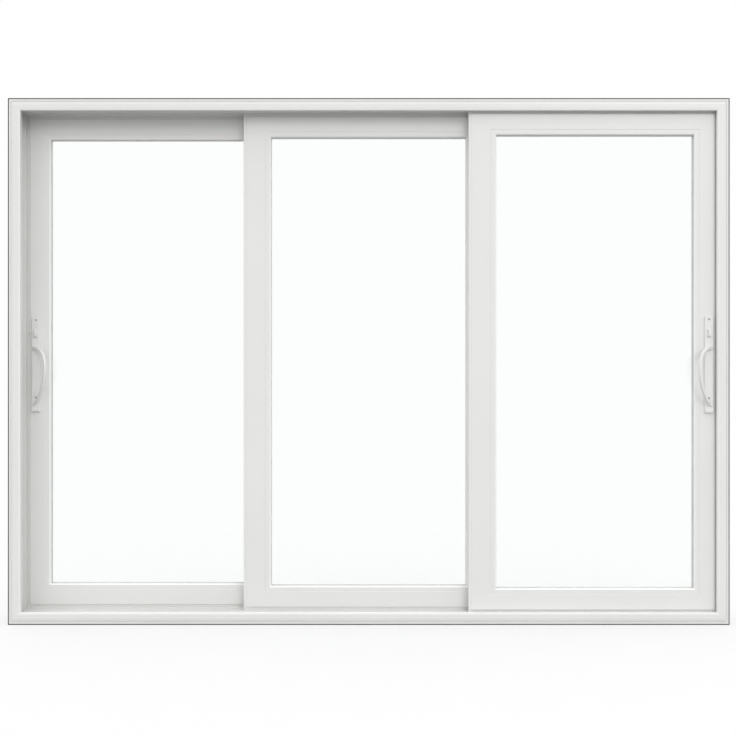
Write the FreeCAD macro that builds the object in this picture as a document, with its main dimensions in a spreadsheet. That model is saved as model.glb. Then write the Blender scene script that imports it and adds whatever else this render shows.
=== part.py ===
"""Three-panel sliding patio door in a three-track frame.

Two end panels slide past a fixed middle panel. Millimetres, +Z up, the room side faces -Y.
The origin is the middle of the sill's underside.
"""
import FreeCAD, Part
import math
import os
import Sketcher

SIZES = [
    ("frame_width", 2740, "outer width over both jambs"),
    ("frame_height", 2000, "outer height over sill and head"),
    ("frame_face", 46, "width of the frame's front and back lips"),
    ("frame_web", 8, "wall of the frame profile behind the channels"),
    ("front_lip", 22, "depth of the front lip"),
    ("back_lip", 8, "depth of the back lip"),
    ("divider", 8, "thickness of the walls between two tracks"),
    ("jamb_divider_rise", 36, "height of those walls on the jambs"),
    ("head_divider_rise", 42, "height of those walls on head and sill"),
    ("lip_clearance", 5, "air between a lip and the panel beside it"),
    ("band_width", 11, "flat band round the outside of the front face"),
    ("band_drop", 1.5, "how far that band lies behind the front face"),
    ("band_groove", 2.2, "width of the groove beside the band"),
    ("groove_depth", 4, "depth of that groove from the front face"),
    ("face_slope_end", 23, "where the sloped part of the front face ends"),
    ("face_step_start", 39, "where the front face steps back beside its inner edge"),
    ("face_step", 0.8, "depth of that step"),
    ("arris", 2, "bevel on the inner edges of the lips"),
    ("seal_width", 4, "width of the perimeter seal seen from the front"),
    ("seal_depth", 10, "depth of the seal's rebate"),
    ("fixing_radius", 3, "installation screw holes"),
    ("fixing_height", 300, "first installation hole above the sill"),
    ("fixing_inset", 400, "first installation hole from the head's end"),
    ("panel_depth", 38, "thickness of a sliding panel"),
    ("panel_gap", 12, "air between neighbouring panels"),
    ("jamb_engagement", 23.5, "how far an end panel runs behind the jamb lip"),
    ("head_engagement", 17, "how far a panel runs up behind the head lip"),
    ("sill_engagement", 19, "how far a panel runs down behind the sill lip"),
    ("meeting_overlap", 101.5, "overlap of two meeting stiles"),
    ("profile_face", 107, "stile and rail width, bead and gasket included"),
    ("tongue_height", 26, "thinner outer edge that runs in the channels"),
    ("tongue_inset", 4, "how far the tongue lies inside each panel face"),
    ("edge_band", 11, "low band along the outer edge of a meeting stile"),
    ("edge_drop", 1.2, "how far that band lies behind the panel's face"),
    ("edge_bevel", 1.5, "bevel on its outer edge"),
    ("glass_bite", 15, "how far the glass goes behind its daylight edge"),
    ("rebate_clearance", 4, "air round the glass edge"),
    ("ledge_depth", 13, "panel face to the gasket"),
    ("gasket_thickness", 1, "each glazing gasket"),
    ("gasket_reveal", 2, "width of gasket seen beside the bead"),
    ("rear_reveal", 8, "width of gasket seen from behind"),
    ("pane_thickness", 4, "each sheet of glass"),
    ("air_space", 9, "gap between the two sheets"),
    ("spacer_width", 12, "spacer bar between the sheets"),
    ("bead_width", 20, "glazing bead seen from the front"),
    ("joint_bevel", 1.4, "bevel on stile and rail beside the bead"),
    ("bead_setback", 0.8, "bead behind the panel face"),
    ("bead_bevel", 3.5, "bevel on the bead's inner edge"),
    ("running_clearance", 5.5, "air kept by the interlock fins"),
    ("fin_thickness", 2, "wall of an interlock fin"),
    ("fin_lip", 3, "return at the fin's tip"),
    ("fin_inset", 30, "fin of a sliding panel from the stile's edge"),
    ("track_base", 16, "foot of a track rail"),
    ("track_foot", 2, "thickness of that foot"),
    ("track_rib", 3, "thickness of the rib that the rollers ride on"),
    ("track_height", 11, "rib top above the sill's floor"),
    ("roller_radius", 16, "rim of a roller"),
    ("roller_groove", 3, "depth of the roller's groove"),
    ("roller_width", 10, "roller across its rims"),
    ("groove_width", 4.2, "roller groove at its floor"),
    ("axle_radius", 3, "roller axle"),
    ("roller_inset", 170, "roller axle from the panel's edge"),
    ("pocket_length", 60, "roller pocket in the bottom rail"),
    ("pocket_width", 16, "roller pocket across the rail"),
    ("pocket_depth", 27, "roller pocket up into the rail"),
    ("block_length", 50, "support block under the fixed panel"),
    ("seat_clearance", 0.3, "play of a piece on its seat"),
    ("handle_height", 989, "middle of the handle plate above the floor"),
    ("handle_inset", 50.5, "middle of the plate from the stile's outer edge"),
    ("plate_width", 33, "handle plate"),
    ("plate_height", 370, "handle plate"),
    ("plate_thickness", 8, "handle plate"),
    ("plate_corner", 4, "corner cut off a handle plate"),
    ("plate_edge", 1.6, "bevel of the plate's front edge"),
    ("foot_height", 13, "raised foot at the plate's lower end"),
    ("foot_rise", 3, "how far the foot stands in front of the plate"),
    ("foot_inset", 1.2, "foot inside the plate's outline, and its own bevel"),
    ("plate_screw_radius", 4, "screw holes in the plate"),
    ("upper_screw", 172, "upper screw above the plate's middle"),
    ("lower_screw", 129, "lower screw below the plate's middle"),
    ("turn_rise", 120, "thumb turn above the plate's middle"),
    ("turn_width", 17, "thumb turn blade"),
    ("turn_length", 33, "thumb turn blade"),
    ("turn_reach", 14, "thumb turn blade, out from the plate"),
    ("turn_taper", 17, "degrees that the blade's sides draw in"),
    ("turn_corner", 2.5, "bevel of the blade's corners"),
    ("turn_edge", 1.5, "bevel of the blade's front edge"),
    ("spindle_play", 0.1, "radial play of the thumb turn's spindle in the plate"),
    ("turn_hole", 6, "radius of its hole in the plate"),
    ("bar_radius", 7, "pull bar, from its axis to the corners of its eight flats"),
    ("pull_offset", 5, "roots of the pull from the plate's middle, away from the glass"),
    ("pull_top", 61, "upper root of the pull above the plate's middle"),
    ("pull_apex", 15, "start of the long lower bow below the plate's middle"),
    ("pull_reach", 72, "pull bar axis out from the plate, along the tilt"),
    ("pull_bend", 68, "bend radius at the pull's upper end"),
    ("pull_bow", 174, "bend radius of the pull's lower bow"),
    ("pull_tilt", 46, "degrees that the pull leans towards the glass"),
    ("pull_root", 12, "bar kept behind the plate before it is cut flush"),
    ("outer_plate_height", 270, "plate of the outside pull"),
    ("outer_reach", 46, "outside pull, bar axis out from its plate"),
    ("outer_bend", 40, "bend radii of the outside pull"),
    ("outer_span", 200, "between the roots of the outside pull"),
    ("faceplate_width", 22, "lock faceplate in the stile's edge"),
    ("faceplate_length", 200, "lock faceplate"),
    ("faceplate_thickness", 2.5, "lock faceplate and keeper plates"),
    ("hook_slot_width", 8, "slot for the lock's hook"),
    ("hook_slot_length", 60, "slot for the lock's hook"),
    ("keeper_width", 26, "keeper plate on the jamb"),
    ("keeper_length", 160, "keeper plate on the jamb"),
]

# Derived sizes, as expressions on the sheet.
FRAME_DEPTH = ("(dims.front_lip + 2 * dims.lip_clearance + 3 * dims.panel_depth"
               " + 2 * dims.panel_gap + dims.back_lip)")
PANEL_PITCH = "(dims.panel_depth + dims.panel_gap)"
PANEL_WIDTH = ("((dims.frame_width - 2 * dims.frame_face + 2 * dims.jamb_engagement"
               " + 2 * dims.meeting_overlap) / 3)")
PANEL_BOTTOM = "(dims.frame_face - dims.sill_engagement)"
PANEL_TOP = "(dims.frame_height - dims.frame_face + dims.head_engagement)"
PANEL_HEIGHT = f"({PANEL_TOP} - {PANEL_BOTTOM})"
GLASS_EDGE = "(dims.profile_face - dims.glass_bite)"
REBATE_FLOOR = f"({GLASS_EDGE} - dims.rebate_clearance)"
BEAD_INNER = "(dims.profile_face - dims.gasket_reveal)"
REAR_INNER = "(dims.profile_face - dims.rear_reveal)"
BEAD_OUTER = f"({BEAD_INNER} - dims.bead_width)"
UNIT_FRONT = "(dims.ledge_depth + dims.gasket_thickness)"
UNIT_DEPTH = "(2 * dims.pane_thickness + dims.air_space)"
REAR_LEDGE = f"({UNIT_FRONT} + {UNIT_DEPTH} + dims.gasket_thickness)"
FIN_REACH = "(dims.panel_gap - dims.running_clearance)"
FIN_GAP = "dims.running_clearance"
TRACK_TOP = "(dims.frame_web + dims.track_height)"
ROLLER_GROOVE_RADIUS = "(dims.roller_radius - dims.roller_groove)"
ROLLER_AXIS = f"({TRACK_TOP} + dims.seat_clearance + {ROLLER_GROOVE_RADIUS})"
CUT_OVERRUN = "(dims.fin_lip + dims.panel_gap)"
TRIM_REACH = "(6 * dims.bar_radius)"

# The sketcher numbers the places on a line, an arc or a circle in this order.
PLACES = ("whole", "start", "end", "centre")
# Points closer than this count as one.
TOUCH = 0.01
BAR_FLATS = 8
LEFT, MIDDLE, RIGHT = 2, 1, 0

doc = FreeCAD.newDocument("patio_door")
dims = doc.addObject("Spreadsheet::Sheet", "dims")
for row, (alias, size, meaning) in enumerate(SIZES, start=1):
    dims.set(f"A{row}", alias)
    dims.set(f"B{row}", str(size))
    dims.set(f"C{row}", meaning)
    dims.setAlias(f"B{row}", alias)
doc.recompute()

pieces = []


def value(expression):
    """The number that an expression on the sheet has now."""
    return float(dims.evalExpression(expression))


def keep(piece, label):
    """Give a finished sub-part its own name and list it for export."""
    piece.Label = label
    pieces.append(piece)
    return piece


def place(piece, x, y, z, turn=0, axis=(0, 1, 0)):
    """Turn a sub-part about an axis in degrees and bind its position to the sheet."""
    rotation = FreeCAD.Rotation(FreeCAD.Vector(*axis), turn)
    piece.Placement = FreeCAD.Placement(FreeCAD.Vector(), rotation)
    for name, expression in (("x", x), ("y", y), ("z", z)):
        piece.setExpression(f".Placement.Base.{name}", expression)


def new_body(name):
    return doc.addObject("PartDesign::Body", name)


def new_sketch(body, role, name):
    """A sketch on one of the body's own origin planes."""
    sketch = body.newObject("Sketcher::SketchObject", name)
    plane = next(item for item in body.Origin.OriginFeatures if item.Role == role)
    sketch.AttachmentSupport = [(plane, "")]
    sketch.MapMode = "FlatFace"
    return sketch


def constrain(sketch, rows):
    """Add constraints; a row is (kind, arguments, expression or None)."""
    for kind, arguments, expression in rows:
        if expression is None:
            sketch.addConstraint(Sketcher.Constraint(kind, *arguments))
        else:
            amount = value(expression)
            index = sketch.addConstraint(Sketcher.Constraint(kind, *arguments, amount))
            sketch.setExpression(f"Constraints[{index}]", expression)


def polygon_sketch(body, role, name, loops):
    """Closed outlines whose corners are pairs of expressions."""
    sketch = new_sketch(body, role, name)
    start, end = PLACES.index("start"), PLACES.index("end")
    for loop in loops:
        corners = [FreeCAD.Vector(value(across), value(along), 0) for across, along in loop]
        following = corners[1:] + corners[:1]
        first = sketch.GeometryCount
        sketch.addGeometry([Part.LineSegment(a, b) for a, b in zip(corners, following)], False)
        rows = []
        for index, (across, along) in enumerate(loop):
            line = first + index
            after = first + (index + 1) % len(loop)
            rows.append(("Coincident", (line, end, after, start), None))
            rows.append(("DistanceX", (line, start), across))
            rows.append(("DistanceY", (line, start), along))
        constrain(sketch, rows)
    return sketch


def circle_sketch(body, role, name, circles):
    """Circles given as (across, along, radius) expressions."""
    sketch = new_sketch(body, role, name)
    centre = PLACES.index("centre")
    for across, along, radius in circles:
        middle = FreeCAD.Vector(value(across), value(along), 0)
        circle = Part.Circle(middle, FreeCAD.Vector(0, 0, 1), value(radius))
        index = sketch.addGeometry(circle, False)
        constrain(sketch, [
            ("DistanceX", (index, centre), across),
            ("DistanceY", (index, centre), along),
            ("Radius", (index,), radius),
        ])
    return sketch


def rectangle(low_x, low_y, high_x, high_y):
    return [(low_x, low_y), (high_x, low_y), (high_x, high_y), (low_x, high_y)]


def pad(body, sketch, name, length, reverse=False):
    feature = body.newObject("PartDesign::Pad", name)
    feature.Profile = sketch
    feature.setExpression("Length", length)
    feature.Reversed = reverse
    return feature


def cut_through(body, sketch, name):
    """Pocket that runs through everything on both sides of its sketch."""
    feature = body.newObject("PartDesign::Pocket", name)
    feature.Profile = sketch
    feature.Type = "ThroughAll"
    feature.SideType = "Symmetric"
    return feature


def cut_deep(body, sketch, name, depth):
    """Pocket of a set depth along the sketch's own normal."""
    feature = body.newObject("PartDesign::Pocket", name)
    feature.Profile = sketch
    feature.Type = "Length"
    feature.Reversed = True
    feature.setExpression("Length", depth)
    return feature


def edges_where(shape, test):
    """Names of the edges whose end points all pass a test."""
    return [f"Edge{number}" for number, edge in enumerate(shape.Edges, start=1)
            if all(test(vertex.Point) for vertex in edge.Vertexes)]


def corner_edges(shape):
    """Names of the edges that run between the back and the front of a padded outline."""
    return [f"Edge{number}" for number, edge in enumerate(shape.Edges, start=1)
            if abs(edge.Vertexes[0].Y - edge.Vertexes[-1].Y) > TOUCH]


def soften(body, base, names, name, size):
    """Chamfer on the named edges of the feature before it."""
    feature = body.newObject("PartDesign::Chamfer", name)
    feature.Base = (base, names)
    feature.setExpression("Size", size)
    doc.recompute()
    return feature


def bevel_face(body, base, name, depth, size):
    """Chamfer all round the flat front of a padded outline, at a depth in front of its sketch."""
    face_y = -value(depth)
    names = edges_where(base.Shape, lambda point: abs(point.y - face_y) < TOUCH)
    return soften(body, base, names, name, size)


def solid_box(name, low, high):
    """Part box between two corners given as expressions."""
    box = doc.addObject("Part::Box", name)
    for size, low_edge, high_edge in zip(("Length", "Width", "Height"), low, high):
        box.setExpression(size, f"{high_edge} - ({low_edge})")
    place(box, *low)
    return box


def ring(name, low, high, wall):
    """Rectangular frame in the door's plane: one box cut from another."""
    outer = solid_box(f"{name}_outer", low, high)
    inner_low = (f"{low[0]} + {wall}", f"{low[1]} - {CUT_OVERRUN}", f"{low[2]} + {wall}")
    inner_high = (f"{high[0]} - ({wall})", f"{high[1]} + {CUT_OVERRUN}", f"{high[2]} - ({wall})")
    inner = solid_box(f"{name}_inner", inner_low, inner_high)
    cut = doc.addObject("Part::Cut", name)
    cut.Base = outer
    cut.Tool = inner
    return cut


def group(name, members):
    """Several separate solids that share one name."""
    compound = doc.addObject("Part::Compound", name)
    compound.Links = members
    return keep(compound, name)


def mitre(body, length, face):
    """Cut both ends of a member at 45 degrees, from its outer edge to its inner edge."""
    over = CUT_OVERRUN
    inside = f"{face} + {over}"
    low = [(f"-{over}", f"-{over}"), (inside, f"-{over}"), (inside, inside)]
    high = [(f"-{over}", f"{length} + {over}"), (inside, f"{length} - {face} - {over}"),
            (inside, f"{length} + {over}")]
    cut_through(body, polygon_sketch(body, "XZ_Plane", "mitre_lines", [low, high]), "mitre_cuts")


def track_front(track):
    """Depth from the frame's front face to the face of the panel on a track."""
    return f"(dims.front_lip + dims.lip_clearance + {track} * {PANEL_PITCH})"


def track_middle(track):
    return f"({track_front(track)} + dims.panel_depth / 2)"


def from_front(depth):
    """Y of a depth counted back from the frame's front face."""
    return f"{depth} - {FRAME_DEPTH} / 2"


def frame_profile(divider_rise):
    """Frame section: lips front and back, two dividers, a web behind the channels.

    The first coordinate runs inward from the frame's outer edge, the second back from its face.
    """
    middle_gap = "dims.front_lip + dims.lip_clearance - dims.panel_gap / 2"
    outline = [
        ("dims.seal_width", "dims.band_drop"),
        ("dims.band_width", "dims.band_drop"),
        ("dims.band_width", "dims.groove_depth"),
        ("dims.band_width + dims.band_groove", "dims.groove_depth"),
        ("dims.band_width + dims.band_groove", "dims.band_drop"),
        ("dims.face_slope_end", "0"),
        ("dims.face_step_start", "0"),
        ("dims.face_step_start + dims.face_step", "dims.face_step"),
        ("dims.frame_face - dims.arris", "dims.face_step"),
        ("dims.frame_face", "dims.face_step + dims.arris"),
        ("dims.frame_face", "dims.front_lip"),
        ("dims.frame_web", "dims.front_lip"),
    ]
    for track in (MIDDLE, LEFT):
        near = f"{middle_gap} + {track} * {PANEL_PITCH} - dims.divider / 2"
        far = f"{near} + dims.divider"
        outline += [("dims.frame_web", near), (divider_rise, near), (divider_rise, far),
                    ("dims.frame_web", far)]
    outline += [
        ("dims.frame_web", f"{FRAME_DEPTH} - dims.back_lip"),
        ("dims.frame_face", f"{FRAME_DEPTH} - dims.back_lip"),
        ("dims.frame_face", f"{FRAME_DEPTH} - dims.arris"),
        ("dims.frame_face - dims.arris", FRAME_DEPTH),
        ("0", FRAME_DEPTH),
        ("0", "dims.seal_depth"),
        ("dims.seal_width", "dims.seal_depth"),
    ]
    return outline


def frame_member(label, length, divider_rise, position, turn, fixings):
    """One side of the outer frame: an extruded section, mitred, with holes through its web."""
    body = new_body(label)
    section = polygon_sketch(body, "XY_Plane", "section", [frame_profile(divider_rise)])
    pad(body, section, "extrusion", length)
    mitre(body, length, "dims.frame_face")
    if fixings:
        circles = [(track_middle(track), height, "dims.fixing_radius")
                   for track in (RIGHT, LEFT) for height in fixings]
        cut_through(body, circle_sketch(body, "YZ_Plane", "fixing_circles", circles), "fixing_holes")
    place(body, position[0], f"-{FRAME_DEPTH} / 2", position[1], turn)
    return keep(body, label)


def outer_frame():
    """Sill, head and jambs, the seal round them, the tracks and the keepers."""
    half, wide, tall = "dims.frame_width / 2", "dims.frame_width", "dims.frame_height"
    jamb_rise, head_rise = "dims.jamb_divider_rise", "dims.head_divider_rise"
    jamb_holes = ("dims.fixing_height", f"{tall} - dims.fixing_height")
    head_holes = ("dims.fixing_inset", f"{wide} - dims.fixing_inset")
    frame_member("left_jamb", tall, jamb_rise, (f"-{half}", "0"), 0, jamb_holes)
    frame_member("right_jamb", tall, jamb_rise, (half, tall), 180, jamb_holes)
    frame_member("sill_frame", wide, head_rise, (half, "0"), -90, ())
    frame_member("head_frame", wide, head_rise, (f"-{half}", tall), 90, head_holes)
    seal = ring("perimeter_seal", (f"-{half}", from_front("dims.band_drop"), "0"),
                (half, from_front("dims.seal_depth"), "dims.frame_height"), "dims.seal_width")
    keep(seal, "perimeter_seal")
    group("sill_tracks", [track_rail(track) for track in (RIGHT, MIDDLE, LEFT)])
    group("lock_keepers", [keeper("left", LEFT, -1), keeper("right", RIGHT, 1)])


def track_rail(track):
    """Metal rail on the sill's floor: a flat foot and an upright rib."""
    body = new_body(f"track_rail_{track}")
    rib, foot, rise = "dims.track_rib / 2", "dims.track_base / 2", "dims.track_height"
    bevel = "dims.track_rib / 4"
    outline = [(f"-{foot}", "0"), (foot, "0"), (foot, "dims.track_foot"), (rib, "dims.track_foot"),
               (rib, f"{rise} - {bevel}"), (bevel, rise), (f"-{bevel}", rise),
               (f"-{rib}", f"{rise} - {bevel}"), (f"-{rib}", "dims.track_foot"),
               (f"-{foot}", "dims.track_foot")]
    run = "(dims.frame_width - 2 * dims.frame_web - 2 * dims.seat_clearance)"
    pad(body, polygon_sketch(body, "YZ_Plane", "rail_section", [outline]), "rail", run)
    place(body, f"-{run} / 2", from_front(track_middle(track)), "dims.frame_web")
    return body


def slotted_plate(name, width, length):
    """Thin plate in the YZ plane with a slot for the lock's hook."""
    body = new_body(name)
    loops = [rectangle(f"-{width} / 2", f"-{length} / 2", f"{width} / 2", f"{length} / 2"),
             rectangle("-dims.hook_slot_width / 2", "-dims.hook_slot_length / 2",
                       "dims.hook_slot_width / 2", "dims.hook_slot_length / 2")]
    outline = polygon_sketch(body, "YZ_Plane", "plate_outline", loops)
    pad(body, outline, "plate", "dims.faceplate_thickness")
    return body


def keeper(name, track, side):
    """Keeper plate on the web of a jamb, level with the panel's lock."""
    body = slotted_plate(f"{name}_keeper", "dims.keeper_width", "dims.keeper_length")
    web = "(dims.frame_width / 2 - dims.frame_web)"
    x = f"-{web}" if side < 0 else f"{web} - dims.faceplate_thickness"
    place(body, x, from_front(track_middle(track)), "dims.handle_height")
    return body


def panel_profile(tongue, fins):
    """Stile or rail section: tongue or edge band, ledges for glass and bead, interlock fins.

    The first coordinate runs inward from the member's outer edge, the second back from its face.
    """
    thick = "dims.panel_depth"
    if tongue:
        inset, rise = "dims.tongue_inset", "dims.tongue_height"
        edge = [("0", inset), (f"{rise} - {inset} / 2", inset), (rise, f"{inset} / 2"), (rise, "0")]
    else:
        drop, band, bevel = "dims.edge_drop", "dims.edge_band", "dims.edge_bevel"
        edge = [("0", f"{drop} + {bevel}"), (bevel, drop), (band, drop), (f"{band} + {drop}", "0")]
    front = list(edge)
    back = [(across, f"{thick} - ({depth})") for across, depth in reversed(edge)]
    for face, start in fins:
        base = "0" if face == "front" else thick
        sign = "-" if face == "front" else "+"
        tip = f"{base} {sign} {FIN_REACH}"
        under = f"{tip} {'+' if face == 'front' else '-'} dims.fin_thickness"
        end = f"{start} + dims.fin_thickness"
        fin = [(start, base), (start, tip), (f"{end} + dims.fin_lip", tip),
               (f"{end} + dims.fin_lip", under), (end, under), (end, base)]
        if face == "front":
            front += fin
        else:
            back = list(reversed(fin)) + back
    glass_side = [
        (f"{BEAD_OUTER} - dims.joint_bevel", "0"),
        (BEAD_OUTER, "dims.joint_bevel"),
        (BEAD_OUTER, "dims.ledge_depth"),
        (REBATE_FLOOR, "dims.ledge_depth"),
        (REBATE_FLOOR, REAR_LEDGE),
        (REAR_INNER, REAR_LEDGE),
        (REAR_INNER, f"{thick} - dims.bead_bevel"),
        (f"{REAR_INNER} - dims.bead_bevel", thick),
    ]
    return front + glass_side + back


def panel_member(label, length, profile, position, turn, cuts=()):
    """One mitred stile or rail; cuts are (kind, outlines) on its outer edge."""
    body = new_body(label)
    pad(body, polygon_sketch(body, "XY_Plane", "section", [profile]), "extrusion", length)
    mitre(body, length, "dims.profile_face")
    for number, (depth, loops) in enumerate(cuts):
        sketch = polygon_sketch(body, "YZ_Plane", f"edge_outline_{number}", loops)
        if depth is None:
            cut_through(body, sketch, f"edge_cut_{number}")
        else:
            cut_deep(body, sketch, f"edge_cut_{number}", depth)
    place(body, *position, turn)
    return keep(body, label)


def channel_relief(length):
    """Outlines that thin a meeting stile's ends to the tongue, fins included."""
    near, far = f"-{CUT_OVERRUN}", f"dims.panel_depth + {CUT_OVERRUN}"
    inset, rise = "dims.tongue_inset", "dims.tongue_height"
    loops = []
    for low, high in ((f"-{CUT_OVERRUN}", rise), (f"{length} - {rise}", f"{length} + {CUT_OVERRUN}")):
        loops.append(rectangle(near, low, inset, high))
        loops.append(rectangle(f"dims.panel_depth - {inset}", low, far, high))
    return loops


def centred_outline(height, width, length):
    """Rectangle centred across a member's edge, at a place along it."""
    return rectangle(f"(dims.panel_depth - {width}) / 2", f"{height} - {length} / 2",
                     f"(dims.panel_depth + {width}) / 2", f"{height} + {length} / 2")


def glazing(name, left, face):
    """Two sheets of glass, their spacer, the gaskets and the bead of one panel."""
    right, low, high = f"({left} + {PANEL_WIDTH})", PANEL_BOTTOM, PANEL_TOP

    def layer(node, edge, near, far, wall=None):
        corner_low = (f"{left} + {edge}", from_front(f"{face} + {near}"), f"{low} + {edge}")
        corner_high = (f"{right} - {edge}", from_front(f"{face} + {far}"), f"{high} - {edge}")
        if wall is None:
            return solid_box(node, corner_low, corner_high)
        return ring(node, corner_low, corner_high, wall)

    first = f"({UNIT_FRONT} + dims.pane_thickness)"
    second = f"({first} + dims.air_space)"
    unit_back = f"({UNIT_FRONT} + {UNIT_DEPTH})"
    gasket_edge = f"({REBATE_FLOOR} + dims.rebate_clearance / 2)"
    gasket_wall = f"dims.profile_face - {gasket_edge}"
    group(f"{name}_glass", [
        layer(f"{name}_inner_pane", GLASS_EDGE, UNIT_FRONT, first),
        layer(f"{name}_outer_pane", GLASS_EDGE, second, unit_back),
    ])
    spacer_edge = f"({GLASS_EDGE} + dims.rebate_clearance / 2)"
    keep(layer(f"{name}_spacer", spacer_edge, first, second, "dims.spacer_width"), f"{name}_spacer")
    group(f"{name}_gaskets", [
        layer(f"{name}_front_gasket", gasket_edge, "dims.ledge_depth", UNIT_FRONT, gasket_wall),
        layer(f"{name}_back_gasket", gasket_edge, unit_back, REAR_LEDGE, gasket_wall),
    ])
    bead(name, left, face)


def bead(name, left, face):
    """Glazing bead: a frame inside the stiles and rails, bevelled towards the glass."""
    body = new_body(f"{name}_bead")
    wide, tall = f"({PANEL_WIDTH} / 2 - {BEAD_OUTER})", f"({PANEL_HEIGHT} / 2 - {BEAD_OUTER})"
    clear_wide = f"({wide} - dims.bead_width)"
    clear_tall = f"({tall} - dims.bead_width)"
    loops = [rectangle(f"-{wide}", f"-{tall}", wide, tall),
             rectangle(f"-{clear_wide}", f"-{clear_tall}", clear_wide, clear_tall)]
    depth = "(dims.ledge_depth - dims.bead_setback)"
    blank = pad(body, polygon_sketch(body, "XZ_Plane", "bead_outline", loops), "blank", depth)
    doc.recompute()
    reach, face_y = value(clear_wide) + TOUCH, -value(depth)
    names = edges_where(blank.Shape, lambda p: abs(p.y - face_y) < TOUCH and abs(p.x) < reach)
    soften(body, blank, names, "bevel", "dims.bead_bevel")
    place(body, f"{left} + {PANEL_WIDTH} / 2", from_front(f"{face} + dims.ledge_depth"),
          f"{PANEL_BOTTOM} + {PANEL_HEIGHT} / 2")
    return keep(body, f"{name}_bead")


def roller(name, x, track):
    """Grooved roller on its axle, turned in one piece, its axis across the track."""
    body = new_body(name)
    rim, floor, axle = "dims.roller_radius", ROLLER_GROOVE_RADIUS, "dims.axle_radius"
    half, groove = "dims.roller_width / 2", "dims.groove_width / 2"
    flare = "(dims.groove_width / 2 + dims.roller_groove / 3)"
    pin = "(dims.pocket_width / 2 - dims.seat_clearance)"
    outline = [("0", f"-{pin}"), (axle, f"-{pin}"), (axle, f"-{half}"), (rim, f"-{half}"),
               (rim, f"-{flare}"), (floor, f"-{groove}"), (floor, groove), (rim, flare), (rim, half),
               (axle, half), (axle, pin), ("0", pin)]
    sketch = polygon_sketch(body, "XY_Plane", "half_section", [outline])
    turned = body.newObject("PartDesign::Revolution", "turned")
    turned.Profile = sketch
    turned.ReferenceAxis = (sketch, ["V_Axis"])
    turned.Angle = 360
    place(body, x, from_front(track_middle(track)), ROLLER_AXIS)
    return body


def support_block(name, x, track):
    """Nylon block that straddles the track rib and carries the fixed panel."""
    body = new_body(name)
    half, slot = "dims.pocket_width / 2", "(dims.track_rib / 2 + dims.seat_clearance)"
    foot, top = "(dims.track_foot + dims.seat_clearance)", f"({PANEL_BOTTOM} - dims.frame_web)"
    outline = [(f"-{half}", foot), (f"-{slot}", foot), (f"-{slot}", "dims.track_height"),
               (slot, "dims.track_height"), (slot, foot), (half, foot), (half, top), (f"-{half}", top)]
    section = polygon_sketch(body, "YZ_Plane", "block_section", [outline])
    pad(body, section, "block", "dims.block_length")
    place(body, f"{x} - dims.block_length / 2", from_front(track_middle(track)), "dims.frame_web")
    return body


def panel(name, track, left, lock_side, fins):
    """One glazed panel. lock_side is -1 or 1 for the edge with the lock, 0 for none."""
    right, front = f"({left} + {PANEL_WIDTH})", from_front(track_front(track))
    rail = panel_profile(True, [])
    relief = [(None, channel_relief(PANEL_HEIGHT))]
    lock_height = f"(dims.handle_height - {PANEL_BOTTOM})"
    stiles = ((-1, left, PANEL_BOTTOM, 0, lock_height),
              (1, right, PANEL_TOP, 180, f"({PANEL_HEIGHT} - {lock_height})"))
    for side, x, z, turn, height in stiles:
        if side == lock_side:
            recess = centred_outline(height, "dims.faceplate_width", "dims.faceplate_length")
            panel_member(f"{name}_lock_stile", PANEL_HEIGHT, rail, (x, front, z), turn,
                         [("dims.faceplate_thickness", [recess])])
        else:
            kind = "meeting" if lock_side else ("left", "right")[side > 0]
            section = panel_profile(False, fins[side])
            panel_member(f"{name}_{kind}_stile", PANEL_HEIGHT, section, (x, front, z), turn, relief)
    places = ("dims.roller_inset", f"{PANEL_WIDTH} - dims.roller_inset")
    pocket_outlines = [centred_outline(along, "dims.pocket_width", "dims.pocket_length")
                       for along in places]
    pockets = [("dims.pocket_depth", pocket_outlines)]
    panel_member(f"{name}_bottom_rail", PANEL_WIDTH, rail, (right, front, PANEL_BOTTOM), -90,
                 pockets if lock_side else ())
    panel_member(f"{name}_top_rail", PANEL_WIDTH, rail, (left, front, PANEL_TOP), 90)
    glazing(name, left, track_front(track))
    carriers = [f"{left} + dims.roller_inset", f"{right} - dims.roller_inset"]
    if lock_side:
        group(f"{name}_rollers", [roller(f"{name}_roller_{number}", x, track)
                                  for number, x in enumerate(carriers)])
    else:
        group(f"{name}_blocks", [support_block(f"{name}_block_{number}", x, track)
                                 for number, x in enumerate(carriers)])


def lock_set(name, track, edge, side):
    """Lock faceplate, handle plate, pull and thumb turn of a sliding panel, and its outside pull."""
    centre = f"({edge} {'+' if side < 0 else '-'} dims.handle_inset)"
    front = from_front(track_front(track))
    back = f"{front} + dims.panel_depth"
    faceplate = slotted_plate(f"{name}_lock_faceplate", "dims.faceplate_width", "dims.faceplate_length")
    faceplate_x = edge if side < 0 else f"{edge} - dims.faceplate_thickness"
    place(faceplate, faceplate_x, from_front(track_middle(track)), "dims.handle_height")
    keep(faceplate, f"{name}_lock_faceplate")
    handle_plate(name, centre, front)
    pull(name, centre, front, side)
    thumb_turn(name, centre, front)
    outer_pull(name, centre, back)


def cornered_plate(body, height):
    """Pad a plate with its corners cut off and a bevelled front edge."""
    wide, tall = "dims.plate_width / 2", f"{height} / 2"
    outline = rectangle(f"-{wide}", f"-{tall}", wide, tall)
    sketch = polygon_sketch(body, "XZ_Plane", "plate_outline", [outline])
    blank = pad(body, sketch, "blank", "dims.plate_thickness")
    doc.recompute()
    cornered = soften(body, blank, corner_edges(blank.Shape), "corners", "dims.plate_corner")
    bevel_face(body, cornered, "front_edge", "dims.plate_thickness", "dims.plate_edge")


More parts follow.
